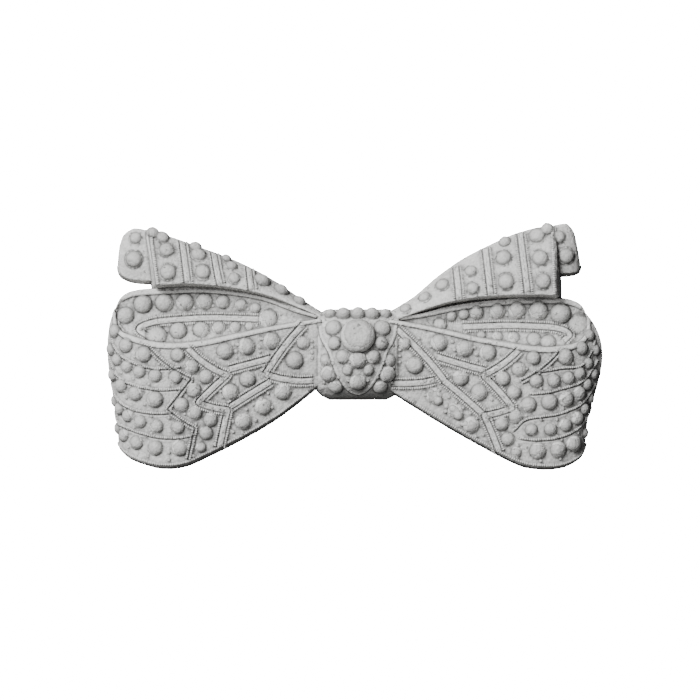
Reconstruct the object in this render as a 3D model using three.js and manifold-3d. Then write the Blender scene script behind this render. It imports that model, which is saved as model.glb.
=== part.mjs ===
// A jewelled ribbon bow, cast in one piece with a flat back, to fix on a panel or a frame.
// Millimetres. X runs to the right as seen from the front, Z runs up, the front faces -Y and
// the flat back lies in the plane y = 0.
import * as THREE from 'three';
import { mergeVertices } from 'three/addons/utils/BufferGeometryUtils.js';
import Module from 'manifold-3d';

const wasm = await Module();
wasm.setup();

// Driving dimensions: the bow's span, and how far each form rises off the flat back.
const SPAN = 163;
const LOOP_RISE = 16;
const FACE_SWELL = 0.6;
const HOLLOW_RISE = 10.5;
const HOLLOW_DIP = 1.6;
const TAIL_RISE = 12.5;
const CURL_RISE = 6.5;
const CURL_SWELL = 0.9;
const KNOT_RISE = 18.5;
const KNOT_EDGE_RISE = 6;
const KNOT_WIDE = 28;
const KNOT_TALL = 29.6;
const KNOT_TUCK = 2.5;

// The knot band, as shares of its width: how far the sides fall away, and its rounded corners.
const KNOT_CROWN_SHARE = 0.36;
const KNOT_WAIST_SHARE = 0.05;
const KNOT_SHOULDER_SHARE = 0.26;
const KNOT_HEEL_SHARE = 0.34;
const KNOT_CORNER_FROM_SHARE = 0.7;
const KNOT_ROLL_POWER = 2.6;

// Side walls lean out towards the back by these shares of their rise, so the cast leaves its mould.
const WALL_DRAFT_SHARE = 0.05;
const TAIL_FOOT_DRAFT_SHARE = 0.3;
const TAIL_END_DRAFT_SHARE = 0.16;
const CURL_FOOT_DRAFT_SHARE = 0.2;

// Beads: swell and foot are shares of the bead's radius, the root is how deep it goes in.
const BEAD_SWELL_SHARE = 0.72;
const BEAD_FOOT_SHARE = 1.08;
const BEAD_ROOT = 0.8;
const BEAD_RING_SHARES = [0.55];
const CABOCHON_RING_SHARES = [0.3, 0.62, 0.9];

// Raised trims
const TRIM_WIDE = 1.5;
const TRIM_RISE = 0.7;
const TRIM_ROOT = 0.6;
const TRIM_GAP = 1.7;
const GROOVE_FLOOR = 0.1;

// The bow is drawn on squared paper, so many squares from end to end, and follows SPAN with them.
const SQUARE_COUNT = 163;
const SQUARE = SPAN / SQUARE_COUNT;

// The ribbons' inner ends lie under the knot's sides.
const TUCKED = (KNOT_WIDE / 2 - KNOT_TUCK) / SQUARE;

// Each rail point is how many squares across from the middle, how many up, and its share of the rise.
const RIBBON = {
  left: {
    face: {
      low: [
        [TUCKED, -12.8, 0.84], [25.6, -23.7, 0.86], [37.5, -30.8, 0.9], [48.5, -36.3, 0.95],
        [56.5, -39.8, 0.99], [63.8, -40.5, 0.97], [69.8, -39.3, 0.89], [74.5, -37.5, 0.76],
        [77.5, -35.3, 0.59], [78.6, -33.7, 0.41], [79, -31, 0.15],
      ],
      high: [
        [TUCKED, 8.6, 0.84], [25.8, 6.3, 0.87], [38.5, 3.7, 0.92], [48.5, 1.5, 0.97],
        [56.5, 0.5, 1], [63.8, 0.5, 0.97], [69.5, 1.5, 0.9], [73.8, 2.8, 0.81],
        [77.5, 4.5, 0.69], [79.7, 7.7, 0.56], [80, 12, 0.46],
      ],
      belly: 2.7,
    },
    hollow: {
      low: [
        [TUCKED, 7.9, 1.1], [21.8, 6.3, 1.02], [31.2, 4, 0.96], [40.2, 2, 0.94], [50.2, 0.3, 0.96],
        [58.5, -0.3, 1], [66.8, 0, 1], [73.2, 1.3, 0.95], [78.2, 4.3, 0.82], [79.8, 9.7, 0.68],
      ],
      high: [
        [TUCKED, 9.1, 1.06], [19.8, 12.2, 0.94], [28.5, 16, 0.82], [37.5, 18, 0.74], [49.5, 19.2, 0.68],
        [58.5, 19, 0.67], [67.8, 18.5, 0.67], [74.2, 17.7, 0.67], [77.8, 15.7, 0.67], [79.7, 12, 0.67],
      ],
      belly: 0,
    },
    tail: {
      low: [
        [TUCKED, 9.4, 0.9], [19.8, 13.3, 0.9], [28.5, 17, 0.93], [37.5, 19.3, 0.96], [46.8, 20.7, 0.96],
        [53.5, 21.2, 1], [59.2, 21.2, 1], [63.5, 20.8, 1], [66.2, 20.5, 1],
      ],
      high: [
        [TUCKED, 10.6, 0.75], [19.5, 16, 0.5], [27.2, 21.3, 0.36], [35.8, 26, 0.36], [44.5, 29.7, 0.36],
        [52.2, 32.5, 0.38], [59.2, 35, 0.42], [64.8, 36.8, 0.46], [69.8, 38.2, 0.5],
      ],
      belly: 0,
    },
    curl: {
      low: [[62, 21.8, 1], [70.2, 21.4, 1], [75.2, 22, 0.9], [78, 23.5, 0.7], [79.2, 26.3, 0.45]],
      high: [[64, 36.5, 1], [72.5, 38.6, 0.85], [75.2, 38, 0.75], [77.2, 36.3, 0.6], [78.5, 33.3, 0.45]],
      belly: 0,
    },
  },
  right: {
    face: {
      low: [
        [TUCKED, -15, 0.84], [27.9, -25.2, 0.86], [39.8, -32, 0.9], [49.2, -37, 0.95],
        [56.2, -40, 0.99], [63.2, -40.8, 0.97], [68.8, -40.2, 0.89], [73.2, -38.3, 0.76],
        [75.5, -36, 0.59], [76.3, -34, 0.41], [76.4, -31.3, 0.15],
      ],
      high: [
        [TUCKED, 8.4, 0.84], [26.8, 5.5, 0.87], [38.8, 2.7, 0.92], [49.2, 0.8, 0.97],
        [56.8, -0.5, 1], [63.5, -0.9, 0.97], [68.8, -0.5, 0.9], [73.2, 0.3, 0.81],
        [76.8, 2.2, 0.69], [78.8, 6, 0.56], [78.5, 10, 0.46],
      ],
      belly: 5.3,
    },
    hollow: {
      low: [
        [TUCKED, 7.3, 1.1], [24.8, 4.7, 1.02], [34.8, 2, 0.96], [44.8, 0.3, 0.94], [53.2, -1, 0.96],
        [61.5, -1.7, 1], [68.2, -1.3, 1], [73.5, 0, 0.95], [77.8, 3, 0.82], [78.8, 7.7, 0.68],
      ],
      high: [
        [TUCKED, 8.3, 1.06], [23.2, 10.7, 0.94], [31.5, 12.8, 0.82], [41.5, 14.3, 0.74], [51.7, 15.2, 0.68],
        [59.8, 15.5, 0.67], [66.8, 15.5, 0.67], [72.2, 14.8, 0.67], [76.2, 13, 0.67], [78.3, 9.7, 0.67],
      ],
      belly: 0,
    },
    tail: {
      low: [
        [TUCKED, 7.6, 0.9], [21.5, 11.7, 0.9], [30.5, 14.7, 0.93], [39.8, 16.5, 0.96], [48.8, 17.3, 0.96],
        [55.5, 17.5, 1], [60.8, 17.5, 1], [64.2, 17.3, 1], [66.8, 17, 1],
      ],
      high: [
        [TUCKED, 10.6, 0.75], [19.8, 16, 0.5], [27.5, 22.7, 0.36], [35.8, 28.5, 0.36], [44.8, 33.2, 0.36],
        [52.2, 36.5, 0.38], [58.8, 38.5, 0.42], [63.2, 39.3, 0.46], [66.5, 39.5, 0.5],
      ],
      belly: 0,
    },
    curl: {
      low: [[62, 24.2, 1], [68.8, 23.9, 1], [71.8, 24, 0.9], [74, 24.6, 0.7], [74.8, 26.6, 0.45]],
      high: [[62, 38.5, 1], [69.2, 40.2, 0.85], [71.2, 39.4, 0.75], [72.7, 37.3, 0.6], [73.7, 33.3, 0.45]],
      belly: 0,
    },
  },
};

// How far the loop's outer end bulges between its rails: it sets in near the end of the ribbon.
const BELLY_POWER = 8;
const BELLY_PEAK = 6.75;

// Rows of beads: the first bead and the last as [along, up, radius], and how many there are.
const FACE_BEADS = [
  [[0.61, 0.89, 2.7], [0.89, 0.93, 2.2], 3],
  [[0.44, 0.73, 2.4], [0.84, 0.73, 2.2], 5],
  [[0.54, 0.54, 2.7], [0.91, 0.55, 2.2], 4],
  [[0.43, 0.32, 2.3], [0.83, 0.33, 2.1], 5],
  [[0.42, 0.15, 2.7], [0.89, 0.15, 2.1], 5],
  [[0.43, 0.91, 2.5], [0.31, 0.69, 2.5], 3],
  [[0.36, 0.6, 2.5], [0.415, 0.5, 2.6], 2],
  [[0.355, 0.41, 2.4], [0.295, 0.3, 2.4], 2],
  [[0.31, 0.18, 2.3], [0.31, 0.18, 2.3], 1],
  [[0.245, 0.87, 2.8], [0.115, 0.85, 2.8], 3],
  [[0.23, 0.48, 2.8], [0.18, 0.54, 2.7], 2],
  [[0.195, 0.15, 2.8], [0.09, 0.24, 2.8], 3],
  [[0.04, 0.72, 2.3], [0.06, 0.54, 2.9], 2],
];
const HOLLOW_BEADS = [
  [[0.83, 0.52, 2.8], [0.715, 0.74, 3.1], 2],
  [[0.615, 0.75, 3], [0.45, 0.75, 2.7], 3],
  [[0.39, 0.75, 2.3], [0.27, 0.66, 1.7], 3],
  [[0.65, 0.17, 3], [0.46, 0.25, 2.7], 3],
  [[0.19, 0.42, 2.6], [0.19, 0.42, 2.6], 1],
];
const TAIL_BEADS = {
  left: [
    [[0.86, 0.96, 2.4], [0.825, 0.24, 3.1], 3],
    [[0.62, 0.82, 2.9], [0.58, 0.33, 3], 2],
    [[0.445, 0.8, 2.3], [0.42, 0.36, 2.3], 2],
    [[0.3, 0.66, 2.7], [0.11, 0.7, 2], 3],
  ],
  right: [
    [[0.78, 0.88, 3.1], [0.805, 0.2, 3], 3],
    [[0.55, 0.68, 3.1], [0.535, 0.25, 3.1], 2],
    [[0.39, 0.65, 2.3], [0.375, 0.24, 2.3], 2],
    [[0.255, 0.64, 2.6], [0.07, 0.61, 2.2], 3],
  ],
};
const CURL_BEADS = {
  left: [[[0.32, 0.82, 2.6], [0.38, 0.4, 3.1], 2]],
  right: [[[0.26, 0.78, 2.6], [0.38, 0.36, 2.9], 2]],
};

// Raised trims: points on the form as [along, up]; a double trim is two bands side by side.
const FACE_TRIMS = [
  { path: [[0.04, 0.97], [0.3, 0.97], [0.6, 0.97], [0.8, 0.97], [0.95, 0.97]], double: false },
  { path: [[0.37, 0.95], [0.235, 0.65], [0.34, 0.47], [0.235, 0.31], [0.265, 0.05]], double: true },
  { path: [[0.225, 0.68], [0.11, 0.67]], double: true },
  { path: [[0.035, 0.93], [0.125, 0.53]], double: true },
  { path: [[0.12, 0.48], [0.03, 0.2]], double: true },
  { path: [[0.13, 0.43], [0.22, 0.33]], double: true },
];
const TAIL_TRIMS = {
  left: [
    { path: [[0.72, 0.94], [0.67, 0.08]], double: true },
    { path: [[0.54, 0.94], [0.48, 0.1]], double: true },
    { path: [[0.37, 0.88], [0.34, 0.12]], double: true },
  ],
  right: [
    { path: [[0.67, 0.95], [0.66, 0.06]], double: true },
    { path: [[0.475, 0.94], [0.45, 0.07]], double: true },
    { path: [[0.335, 0.82], [0.31, 0.08]], double: true },
  ],
};

// The knot's ornament is the same on both sides of its middle: [sideways, up, radius].
const KNOT_CABOCHON = [0, 0.712, 5.6];
const KNOT_MIDDLE_BEADS = [[0, 0.963, 2.2], [0, 0.424, 2.8], [0, 0.189, 2.8]];
const KNOT_PAIRED_BEADS = [
  [0.3, 0.806, 2.7], [0.29, 0.628, 2.3], [0.19, 0.963, 2.3], [0.19, 0.471, 2.3],
  [0.41, 0.44, 2], [0.37, 0.283, 2.7], [0.27, 0.136, 2.4],
];
const KNOT_MIDDLE = { across: 0.8, up: -3.2 };

// How finely the skins and the beads are faceted.
const GRID_COUNTS = { face: [15, 4], hollow: [11, 3], tail: [8, 3], curl: [6, 3], knot: [4, 11] };
const BEAD_SIDE_COUNTS = { small: 5, large: 6, cabochon: 12 };
const LARGE_BEAD_FROM_SQUARES = 2.75;
const CABOCHON_FROM_SQUARES = 4;
const SLOPE_STEP_SHARE = 0.004;
const WELD = 1e-4;

const COLOUR = new THREE.Color(0xb9bab8);

function blend(a, b, t) {
  return a + (b - a) * t;
}

// How the rise runs between a form's two rails.
const PROFILES = {
  face: (low, high, v) => blend(low, high, v) + FACE_SWELL * (Math.sin(Math.PI * v) - 0.5),
  hollow: (low, high, v) => blend(low, high, v) - HOLLOW_DIP * Math.sin(Math.PI * v),
  tail: (low, high, v) => blend(low, high, v ** 1.8),
  curl: (low, high, v) => blend(low, high, v) + CURL_SWELL * Math.sin(Math.PI * v),
};
const RISES = { face: LOOP_RISE, hollow: HOLLOW_RISE, tail: TAIL_RISE, curl: CURL_RISE };

function railCurve(points, rise) {
  const marks = points.map(([across, up, share]) => (
    new THREE.Vector3(across * SQUARE, up * SQUARE, share * rise)
  ));
  return new THREE.CatmullRomCurve3(marks, false, 'catmullrom', 0.5);
}

// A ribbon form gives a point for each (along, up) pair: x across, y up, z the rise off the back.
function ribbonForm(sideName, formName) {
  const { low, high, belly } = RIBBON[sideName][formName];
  const lowRail = railCurve(low, RISES[formName]);
  const highRail = railCurve(high, RISES[formName]);
  const profile = PROFILES[formName];
  const at = (u, v) => {
    const a = lowRail.getPoint(u);
    const b = highRail.getPoint(u);
    const point = a.clone().lerp(b, v);
    point.x += belly * SQUARE * u ** BELLY_POWER * BELLY_PEAK * v * v * (1 - v);
    point.z = profile(a.z, b.z, v);
    return point;
  };
  return { at, side: sideName === 'left' ? -1 : 1 };
}

// The knot is a band drawn round the middle: a rolled top and bottom and a slight crown across.
function knotForm() {
  const at = (u, v) => {
    const across = 2 * u - 1;
    const up = 2 * v - 1;
    const roll = Math.sqrt(1 - Math.abs(up) ** KNOT_ROLL_POWER);
    const crown = 1 - KNOT_CROWN_SHARE * across * across;
    const pastCorner = Math.abs(up) - KNOT_CORNER_FROM_SHARE;
    const corner = Math.max(0, pastCorner / (1 - KNOT_CORNER_FROM_SHARE)) ** 2;
    const rounding = up > 0 ? KNOT_SHOULDER_SHARE : KNOT_HEEL_SHARE;
    const width = 1 - KNOT_WAIST_SHARE * (1 - up * up) - rounding * corner;
    const x = KNOT_MIDDLE.across * SQUARE + (KNOT_WIDE / 2) * across * width;
    const y = KNOT_MIDDLE.up * SQUARE + (KNOT_TALL / 2) * up;
    return new THREE.Vector3(x, y, KNOT_EDGE_RISE + (KNOT_RISE - KNOT_EDGE_RISE) * roll * crown);
  };
  return { at, side: 1 };
}

function inFrame(point, side) {
  return new THREE.Vector3(side * point.x, -point.z, point.y);
}

function meshOf(vertices, triangles) {
  const geometry = new THREE.BufferGeometry();
  const numbers = vertices.flatMap((p) => p.toArray());
  geometry.setAttribute('position', new THREE.Float32BufferAttribute(numbers, 3));
  geometry.setIndex(triangles.flat());
  return geometry;
}

function solidOf(geometry) {
  const bare = geometry.clone();
  bare.deleteAttribute('normal');
  bare.deleteAttribute('uv');
  const welded = mergeVertices(bare, WELD);
  return new wasm.Manifold(new wasm.Mesh({
    numProp: 3,
    vertProperties: new Float32Array(welded.attributes.position.array),
    triVerts: new Uint32Array(welded.index.array),
  }));
}

// The outline of a form, anticlockwise from the front, as [u, v, draft of the wall there].
function outlineOf(columns, rows, drafts) {
  const steps = [];
  for (let i = 0; i < columns; i++) steps.push([i / columns, 0, drafts.low]);
  for (let j = 0; j < rows; j++) steps.push([1, j / rows, drafts.end]);
  for (let i = columns; i > 0; i--) steps.push([i / columns, 1, drafts.high]);
  for (let j = rows; j > 0; j--) steps.push([0, j / rows, WALL_DRAFT_SHARE]);
  return steps;
}

// A form's front skin, its leaning side walls and its flat back, as one closed solid.
function castForm(form, [columns, rows], leaning = {}) {
  const drafts = { low: WALL_DRAFT_SHARE, end: WALL_DRAFT_SHARE, high: WALL_DRAFT_SHARE, ...leaning };
  const vertices = [];
  const triangles = [];
  const index = (i, j) => i * (rows + 1) + j;
  for (let i = 0; i <= columns; i++) {
    for (let j = 0; j <= rows; j++) vertices.push(form.at(i / columns, j / rows));
  }
  for (let i = 0; i < columns; i++) {
    for (let j = 0; j < rows; j++) {
      triangles.push([index(i, j), index(i + 1, j), index(i + 1, j + 1)]);
      triangles.push([index(i, j), index(i + 1, j + 1), index(i, j + 1)]);
    }
  }
  const outline = outlineOf(columns, rows, drafts);
  const rim = outline.map(([u, v]) => index(Math.round(u * columns), Math.round(v * rows)));
  const base = outline.map(([u, v, draft], k) => {
    const before = vertices[rim[(k + rim.length - 1) % rim.length]];
    const after = vertices[rim[(k + 1) % rim.length]];
    const outward = new THREE.Vector2(after.y - before.y, before.x - after.x).normalize();
    const top = vertices[rim[k]];
    const lean = draft * top.z;
    return new THREE.Vector3(top.x + outward.x * lean, top.y + outward.y * lean, 0);
  });
  const first = vertices.length;
  vertices.push(...base);
  rim.forEach((a, k) => {
    const next = (k + 1) % rim.length;
    triangles.push([a, first + k, first + next]);
    triangles.push([a, first + next, rim[next]]);
  });
  const contour = base.map((p) => new THREE.Vector2(p.x, p.y));
  THREE.ShapeUtils.triangulateShape(contour, []).forEach(([a, b, c]) => {
    triangles.push([first + a, first + c, first + b]);
  });
  const facing = form.side > 0 ? triangles : triangles.map(([a, b, c]) => [a, c, b]);
  return solidOf(meshOf(vertices.map((p) => inFrame(p, form.side)), facing));
}

function normalOn(form, u, v) {
  const east = form.at(Math.min(u + SLOPE_STEP_SHARE, 1), v).sub(form.at(u - SLOPE_STEP_SHARE, v));
  const north = form.at(u, Math.min(v + SLOPE_STEP_SHARE, 1)).sub(form.at(u, v - SLOPE_STEP_SHARE));
  return east.cross(north).normalize();
}

// The radius of a bead is in squares, as its place is.
function beadSides(radius) {
  if (radius > CABOCHON_FROM_SQUARES) return BEAD_SIDE_COUNTS.cabochon;
  return radius > LARGE_BEAD_FROM_SQUARES ? BEAD_SIDE_COUNTS.large : BEAD_SIDE_COUNTS.small;
}

// A bead is a low dome on a short root that goes into the form under it.
function bead(form, u, v, radius) {
  const centre = form.at(u, v);
  const normal = normalOn(form, u, v);
  const size = radius * SQUARE;
  const sides = beadSides(radius);
  const shares = radius > CABOCHON_FROM_SQUARES ? CABOCHON_RING_SHARES : BEAD_RING_SHARES;
  const turn = new THREE.Quaternion().setFromUnitVectors(new THREE.Vector3(0, 0, 1), normal);
  const ring = (reach, height) => {
    const points = [];
    for (let k = 0; k < sides; k++) {
      const angle = (2 * Math.PI * (k + 0.5)) / sides;
      const local = new THREE.Vector3(reach * Math.cos(angle), reach * Math.sin(angle), height);
      points.push(local.applyQuaternion(turn).add(centre));
    }
    return points;
  };
  const swell = size * BEAD_SWELL_SHARE;
  const crown = new THREE.Vector3(0, 0, swell).applyQuaternion(turn).add(centre);
  const rings = shares.map((share) => {
    const angle = (share * Math.PI) / 2;
    return ring(size * Math.sin(angle), swell * Math.cos(angle));
  });
  rings.push(ring(size * BEAD_FOOT_SHARE, -BEAD_ROOT));
  const root = new THREE.Vector3(0, 0, -BEAD_ROOT).applyQuaternion(turn).add(centre);
  return stackOf(crown, rings, root, form.side);
}

// Closes a stack of rings with a point at each end.
function stackOf(top, rings, bottom, side) {
  const sides = rings[0].length;
  const vertices = [top, ...rings.flat(), bottom];
  const triangles = [];
  for (let k = 0; k < sides; k++) {
    const next = (k + 1) % sides;
    triangles.push([0, 1 + k, 1 + next]);
    for (let r = 0; r + 1 < rings.length; r++) {
      const upper = 1 + r * sides;
      const lower = upper + sides;
      triangles.push([upper + k, lower + k, lower + next]);
      triangles.push([upper + k, lower + next, upper + next]);
    }
    const lastRing = 1 + (rings.length - 1) * sides;
    triangles.push([lastRing + k, vertices.length - 1, lastRing + next]);
  }
  const facing = side > 0 ? triangles : triangles.map(([a, b, c]) => [a, c, b]);
  return solidOf(meshOf(vertices.map((p) => inFrame(p, side)), facing));
}

function beadRow(form, [from, to, count]) {
  const beads = [];
  for (let k = 0; k < count; k++) {
    const t = count > 1 ? k / (count - 1) : 0;
    beads.push(bead(form, blend(from[0], to[0], t), blend(from[1], to[1], t), blend(from[2], to[2], t)));
  }
  return beads;
}

// The section of a trim as [sideways, off the form]: one ridge, or two with a groove between.
function trimSection(double) {
  const half = TRIM_WIDE / 2;
  const foot = [[half, -TRIM_ROOT], [-half, -TRIM_ROOT]];
  if (!double) return [...foot, [0, TRIM_RISE]];
  const ridge = TRIM_GAP / 2;
  return [
    [ridge + half, -TRIM_ROOT], [-ridge - half, -TRIM_ROOT],
    [-ridge, TRIM_RISE], [0, GROOVE_FLOOR], [ridge, TRIM_RISE],
  ];
}

// A trim is a low bar laid along the form, its section repeated at each station of its path.
function trim(form, { path, double }) {
  const section = trimSection(double);
  const corners = section.length;
  const spots = path.map(([u, v]) => form.at(u, v));
  const vertices = [];
  spots.forEach((spot, k) => {
    const next = spots[Math.min(k + 1, spots.length - 1)];
    const ahead = next.clone().sub(spots[Math.max(k - 1, 0)]).normalize();
    const normal = normalOn(form, path[k][0], path[k][1]);
    const across = normal.clone().cross(ahead).normalize();
    section.forEach(([sideways, off]) => {
      const corner = spot.clone().addScaledVector(across, sideways);
      vertices.push(corner.addScaledVector(normal, off));
    });
  });
  const triangles = [];
  const last = corners * (spots.length - 1);
  for (let c = 1; c + 1 < corners; c++) {
    triangles.push([0, c, c + 1]);
    triangles.push([last, last + c + 1, last + c]);
  }
  for (let k = 0; k + 1 < spots.length; k++) {
    for (let c = 0; c < corners; c++) {
      const a = corners * k + c;
      const b = corners * k + ((c + 1) % corners);
      triangles.push([a, b + corners, b]);
      triangles.push([a, a + corners, b + corners]);
    }
  }
  const facing = form.side > 0 ? triangles : triangles.map(([a, b, c]) => [a, c, b]);
  return solidOf(meshOf(vertices.map((p) => inFrame(p, form.side)), facing));
}

function halfBow(sideName) {
  const face = ribbonForm(sideName, 'face');
  const hollow = ribbonForm(sideName, 'hollow');
  const tail = ribbonForm(sideName, 'tail');
  const curl = ribbonForm(sideName, 'curl');
  return [
    castForm(face, GRID_COUNTS.face),
    castForm(hollow, GRID_COUNTS.hollow),
    castForm(tail, GRID_COUNTS.tail, { low: TAIL_FOOT_DRAFT_SHARE, end: TAIL_END_DRAFT_SHARE }),
    castForm(curl, GRID_COUNTS.curl, { low: CURL_FOOT_DRAFT_SHARE }),
    ...FACE_BEADS.flatMap((row) => beadRow(face, row)),
    ...HOLLOW_BEADS.flatMap((row) => beadRow(hollow, row)),
    ...TAIL_BEADS[sideName].flatMap((row) => beadRow(tail, row)),
    ...CURL_BEADS[sideName].flatMap((row) => beadRow(curl, row)),
    ...FACE_TRIMS.map((line) => trim(face, line)),
    ...TAIL_TRIMS[sideName].map((line) => trim(tail, line)),
  ];
}

function knot() {
  const form = knotForm();
  const place = (sideways, up, radius) => bead(form, 0.5 + sideways, up, radius);
  const paired = KNOT_PAIRED_BEADS.flatMap(([s, up, r]) => [place(-s, up, r), place(s, up, r)]);
  return [
    castForm(form, GRID_COUNTS.knot),
    place(...KNOT_CABOCHON),
    ...KNOT_MIDDLE_BEADS.map((spot) => place(...spot)),
    ...paired,
  ];
}

function bowOnlay() {
  const pieces = [...halfBow('left'), ...halfBow('right'), ...knot()];
  const cast = pieces.slice(1).reduce((whole, piece) => whole.add(piece), pieces[0]);
  const { vertProperties, triVerts } = cast.getMesh();
  const geometry = new THREE.BufferGeometry();
  geometry.setAttribute('position', new THREE.Float32BufferAttribute(vertProperties, 3));
  geometry.setIndex(Array.from(triVerts));
  geometry.computeVertexNormals();
  const material = new THREE.MeshStandardMaterial({ color: COLOUR, roughness: 0.85, metalness: 0 });
  const mesh = new THREE.Mesh(geometry, material);
  mesh.name = 'bow_onlay';
  return mesh;
}

const part = new THREE.Group();
part.name = 'bow_onlay_part';
part.add(bowOnlay());

export default part;
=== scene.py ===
import math

import bpy
import numpy as np
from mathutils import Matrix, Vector
from mathutils.kdtree import KDTree


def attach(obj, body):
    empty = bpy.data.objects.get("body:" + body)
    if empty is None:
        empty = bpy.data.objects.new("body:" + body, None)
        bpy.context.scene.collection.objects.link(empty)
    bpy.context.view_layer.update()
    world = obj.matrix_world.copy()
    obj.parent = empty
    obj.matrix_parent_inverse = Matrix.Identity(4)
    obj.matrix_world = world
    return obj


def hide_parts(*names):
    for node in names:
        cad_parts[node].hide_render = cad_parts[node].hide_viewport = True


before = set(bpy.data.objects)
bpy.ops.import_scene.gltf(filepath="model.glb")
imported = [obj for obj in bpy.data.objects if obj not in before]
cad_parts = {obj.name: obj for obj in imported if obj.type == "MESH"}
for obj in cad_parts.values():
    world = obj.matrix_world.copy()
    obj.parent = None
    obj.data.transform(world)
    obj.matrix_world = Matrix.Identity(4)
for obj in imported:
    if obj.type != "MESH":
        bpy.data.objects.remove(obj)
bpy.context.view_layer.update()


# The bow's forms.
# Two ribbon loops, two tails with rolled ends and the knot, each a smooth skin over a flat back.
# Lengths are millimetres, as a carver sets them out, until the finished skin is made metres.

MM = 0.001
LOOP_RISE = 16.0
FACE_SWELL = 0.6
EDGE_DROP = 0.7
EDGE_SHARE = 0.012
LEFT_BELLY = 2.7
RIGHT_BELLY = 5.3
BELLY_REACH = 8
BELLY_FULL = 6.75
HOLLOW_RISE = 10.5
HOLLOW_DIP = 1.6
TAIL_RISE = 12.5
TAIL_SWEEP = 1.8
CURL_RISE = 6.5
CURL_SWELL = 0.9
KNOT_RISE = 18.5
KNOT_EDGE_RISE = 6.0
KNOT_WIDE = 28.0
KNOT_TALL = 29.6
KNOT_MIDDLE = (0.8, -3.2)
KNOT_ROLL = 2.6
KNOT_CROWN = 0.36
KNOT_WAIST = 0.05
KNOT_CORNER = 0.3
KNOT_SHOULDER = 0.26
KNOT_HEEL = 0.34
KNOT_TUCK = 2.5
TUCKED = KNOT_WIDE / 2 - KNOT_TUCK
WALL_DRAFT = 0.05
KNEE_DRAFT = 0.13
KNEE_SHARE = 0.3
SHELTERED_DRAFT = 0.3
TAIL_END_DRAFT = 0.16
CURL_FOOT_DRAFT = 0.2

# Each rail point is how far across from the middle, how far up, and its share of the form's rise.
LEFT_FACE = (
    [
        (TUCKED, -12.8, 0.84), (25.6, -23.7, 0.86), (37.5, -30.8, 0.9), (48.5, -36.3, 0.95),
        (56.5, -39.8, 0.99), (63.8, -40.5, 0.97), (69.8, -39.3, 0.89), (74.5, -37.5, 0.76),
        (77.5, -35.3, 0.59), (78.6, -33.7, 0.41), (79, -31, 0.15),
    ],
    [
        (TUCKED, 8.6, 0.84), (25.8, 6.3, 0.87), (38.5, 3.7, 0.92), (48.5, 1.5, 0.97),
        (56.5, 0.5, 1), (63.8, 0.5, 0.97), (69.5, 1.5, 0.9), (73.8, 2.8, 0.81),
        (77.5, 4.5, 0.69), (79.7, 7.7, 0.56), (80, 12, 0.46),
    ],
)
RIGHT_FACE = (
    [
        (TUCKED, -15, 0.84), (27.9, -25.2, 0.86), (39.8, -32, 0.9), (49.2, -37, 0.95),
        (56.2, -40, 0.99), (63.2, -40.8, 0.97), (68.8, -40.2, 0.89), (73.2, -38.3, 0.76),
        (75.5, -36, 0.59), (76.3, -34, 0.41), (76.4, -31.3, 0.15),
    ],
    [
        (TUCKED, 8.4, 0.84), (26.8, 5.5, 0.87), (38.8, 2.7, 0.92), (49.2, 0.8, 0.97),
        (56.8, -0.5, 1), (63.3, -0.9, 0.97), (68.3, -0.5, 0.9), (72.3, 0.3, 0.81),
        (75.4, 2.2, 0.69), (77.1, 6, 0.56), (76.8, 10, 0.46),
    ],
)
LEFT_HOLLOW = (
    [
        (TUCKED, 7.9, 1.1), (21.8, 6.3, 1.02), (31.2, 4, 0.96), (40.2, 2, 0.94), (50.2, 0.3, 0.96),
        (58.5, -0.3, 1), (66.8, 0, 1), (73.2, 1.3, 0.95), (78.2, 4.3, 0.82), (79.8, 9.7, 0.68),
    ],
    [
        (TUCKED, 9.1, 1.06), (19.8, 12.2, 0.94), (28.5, 16, 0.82), (37.5, 18, 0.74), (49.5, 19.2, 0.68),
        (58.5, 19, 0.67), (67.8, 18.5, 0.67), (74.2, 17.7, 0.67), (77.8, 15.7, 0.67), (79.7, 12, 0.67),
    ],
)
RIGHT_HOLLOW = (
    [
        (TUCKED, 7.3, 1.1), (24.8, 4.7, 1.02), (34.8, 2, 0.96), (44.8, 0.3, 0.94), (53.2, -1, 0.96),
        (61.3, -1.7, 1), (67.8, -1.3, 1), (72.6, 0, 0.95), (76.3, 3, 0.82), (77.1, 7.7, 0.68),
    ],
    [
        (TUCKED, 8.3, 1.06), (23.2, 10.7, 0.94), (31.5, 12.8, 0.82), (41.5, 14.3, 0.74), (51.7, 15.2, 0.68),
        (59.8, 15.5, 0.67), (66.6, 15.5, 0.67), (71.6, 14.8, 0.67), (75, 13, 0.67), (76.7, 9.7, 0.67),
    ],
)
LEFT_TAIL = (
    [
        (TUCKED, 9.4, 0.9), (19.8, 12.9, 0.9), (28.5, 16.3, 0.93), (37.5, 18.5, 0.96), (46.8, 19.8, 0.96),
        (53.5, 20.3, 1), (59.2, 20.3, 1), (63.5, 20, 1), (66.2, 19.9, 1),
    ],
    [
        (TUCKED, 10.6, 0.75), (19.5, 16, 0.5), (27.2, 21.3, 0.36), (35.8, 26, 0.36), (44.5, 29.7, 0.36),
        (52.2, 32.5, 0.38), (59.2, 35, 0.42), (64.8, 36.8, 0.46), (69.8, 38.2, 0.5),
    ],
)
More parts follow.
